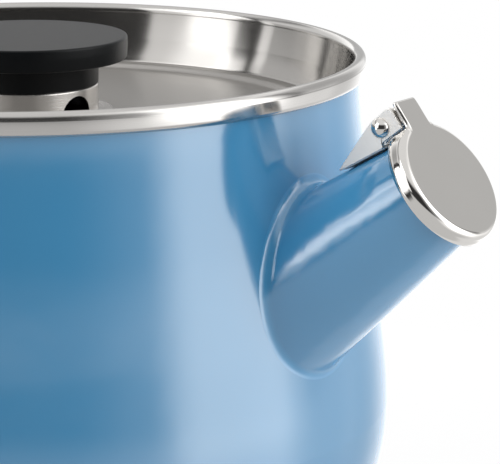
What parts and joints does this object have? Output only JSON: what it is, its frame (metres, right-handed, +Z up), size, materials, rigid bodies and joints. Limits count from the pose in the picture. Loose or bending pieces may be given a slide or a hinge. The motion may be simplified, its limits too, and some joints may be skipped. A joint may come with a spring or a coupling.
{
  "type": "coffee percolator",
  "caption": "Enamelled stovetop percolator pot with sunk lid, flat knob, side grip, flip-cap spout and lift-out pump tube, basket and spreader.",
  "frame": {"origin": "on the pot's axis, on the plane that its base disc rests on", "axes": "+X towards the spout, -X towards the handle, +Z up along the pot's axis"},
  "size_m": [0.2555, 0.1659, 0.1313],
  "materials": {
    "enamel": "glossy light blue vitreous enamel",
    "brushed_steel": "satin stainless steel",
    "base_steel": "turned stainless steel",
    "polished_steel": "mirror-polished stainless steel",
    "spring_steel": "bright drawn spring wire",
    "screw_steel": "plain stainless steel",
    "brass": "turned brass",
    "black_moulding": "matte black phenolic moulding"
  },
  "bodies": {
    "pot": {"pot_shell": "enamel", "rim_collar": "brushed_steel", "base_disc": "base_steel", "spout_tube": "enamel", "spout_strainer": "brushed_steel", "hinge_bracket": "polished_steel", "hinge_rivet": "polished_steel", "cap_spring": "spring_steel", "handle_upper_bracket": "brushed_steel", "handle_lower_bracket": "brushed_steel", "handle_grip": "black_moulding", "handle_ferrules": "polished_steel", "handle_screws": "screw_steel"},
    "cap": {"spout_cap": "polished_steel"},
    "pump": {"pump_tube": "brushed_steel", "pump_foot": "brushed_steel", "basket_stop": "brushed_steel"},
    "basket": {"basket_cup": "brushed_steel", "basket_sleeve": "brushed_steel"},
    "cover": {"spreader": "brushed_steel"},
    "lid": {"lid_plate": "brushed_steel", "knob_post": "brushed_steel", "knob": "black_moulding", "knob_insert": "brass", "knob_screw": "screw_steel", "knob_washer": "screw_steel"}
  },
  "joints": [
    {"name": "cap_hinge", "type": "hinge", "parent": "pot", "child": "cap", "pos_m": [0.09792, 0, 0.12106], "axis": [0, -1, 0], "range_deg": [0, 95], "stiffness_Nm_per_rad": 0.012, "springref_deg": -28.65, "deforming": ["cap_spring"]},
    {"name": "pump_lift", "type": "slide", "parent": "pot", "child": "pump", "axis": [0, 0, 1], "range_m": [0, 0.14]},
    {"name": "basket_lift", "type": "slide", "parent": "pump", "child": "basket", "axis": [0, 0, 1], "range_m": [0, 0.06]},
    {"name": "cover_lift", "type": "slide", "parent": "basket", "child": "cover", "axis": [0, 0, 1], "range_m": [0, 0.04]},
    {"name": "lid_lift", "type": "slide", "parent": "cover", "child": "lid", "axis": [0, 0, 1], "range_m": [0, 0.06]}
  ]
}
